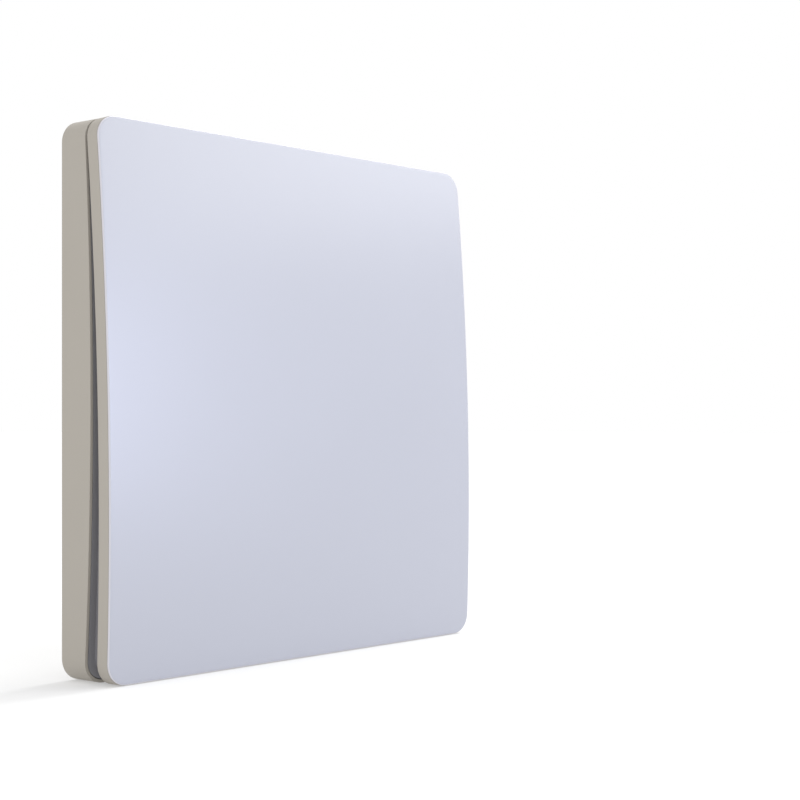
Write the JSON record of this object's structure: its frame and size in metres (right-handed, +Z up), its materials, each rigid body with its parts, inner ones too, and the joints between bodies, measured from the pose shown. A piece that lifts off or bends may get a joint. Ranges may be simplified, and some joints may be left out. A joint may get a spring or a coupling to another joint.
{
  "type": "wireless wall switch",
  "caption": "Flat square wall switch with a single crowned rocker over a shallow housing; tilting the rocker drives a small generator that sends a radio signal.",
  "frame": {"origin": "centre of the housing's flat back, on the wall plane", "axes": "+Y into the wall, +Z up, +X to the right of someone facing the switch; the rocker faces -Y"},
  "size_m": [0.086, 0.0116, 0.0861],
  "materials": {
    "housing_plastic": "satin moulded plastic, warm beige grey",
    "face_white": "smooth satin gloss, cool white",
    "cover_plastic": "fine matt, dark grey",
    "chassis_plastic": "matt black moulding",
    "lever_plastic": "natural white bearing plastic",
    "screw_steel": "zinc plated",
    "core_iron": "stamped soft iron",
    "pole_steel": "stamped steel",
    "magnet_nickel": "nickel plated",
    "winding_copper": "enamelled copper wire",
    "tinned_wire": "tinned",
    "board_laminate": "green solder mask",
    "chip_epoxy": "black epoxy",
    "crystal_can": "pressed metal can",
    "capacitor_case": "moulded case",
    "resistor_ceramic": "glazed ceramic"
  },
  "bodies": {
    "housing": {"rear_housing": "housing_plastic", "inner_cover": "cover_plastic", "cover_screws": "screw_steel", "generator_frame": "chassis_plastic", "generator_screws": "screw_steel", "core_yoke": "core_iron", "core_arm": "core_iron", "coil_bobbin": "chassis_plastic", "coil_winding": "winding_copper", "coil_terminals": "tinned_wire", "circuit_board": "board_laminate", "board_screws": "screw_steel", "radio_chip": "chip_epoxy", "crystal": "crystal_can", "storage_capacitors": "capacitor_case", "rectifier_diodes": "chip_epoxy", "board_resistors": "resistor_ceramic", "antenna": "tinned_wire"},
    "rocker": {"rocker_panel": "housing_plastic", "face_plate": "face_white"},
    "armature": {"swing_lever": "lever_plastic", "magnet": "magnet_nickel", "front_pole_plate": "pole_steel", "rear_pole_plate": "pole_steel"}
  },
  "joints": [
    {"name": "rocker_tilt", "type": "hinge", "parent": "housing", "child": "rocker", "pos_m": [0, -0.0064, 0], "axis": [1, 0, 0], "range_deg": [0, 3.4]},
    {"name": "lever_swing", "type": "hinge", "parent": "housing", "child": "armature", "pos_m": [0, -0.0043, -0.016], "axis": [1, 0, 0], "range_deg": [0, 7.03]}
  ],
  "couplings": [
    {"joint": "lever_swing", "follows": "rocker_tilt", "ratio": 2.0667}
  ]
}
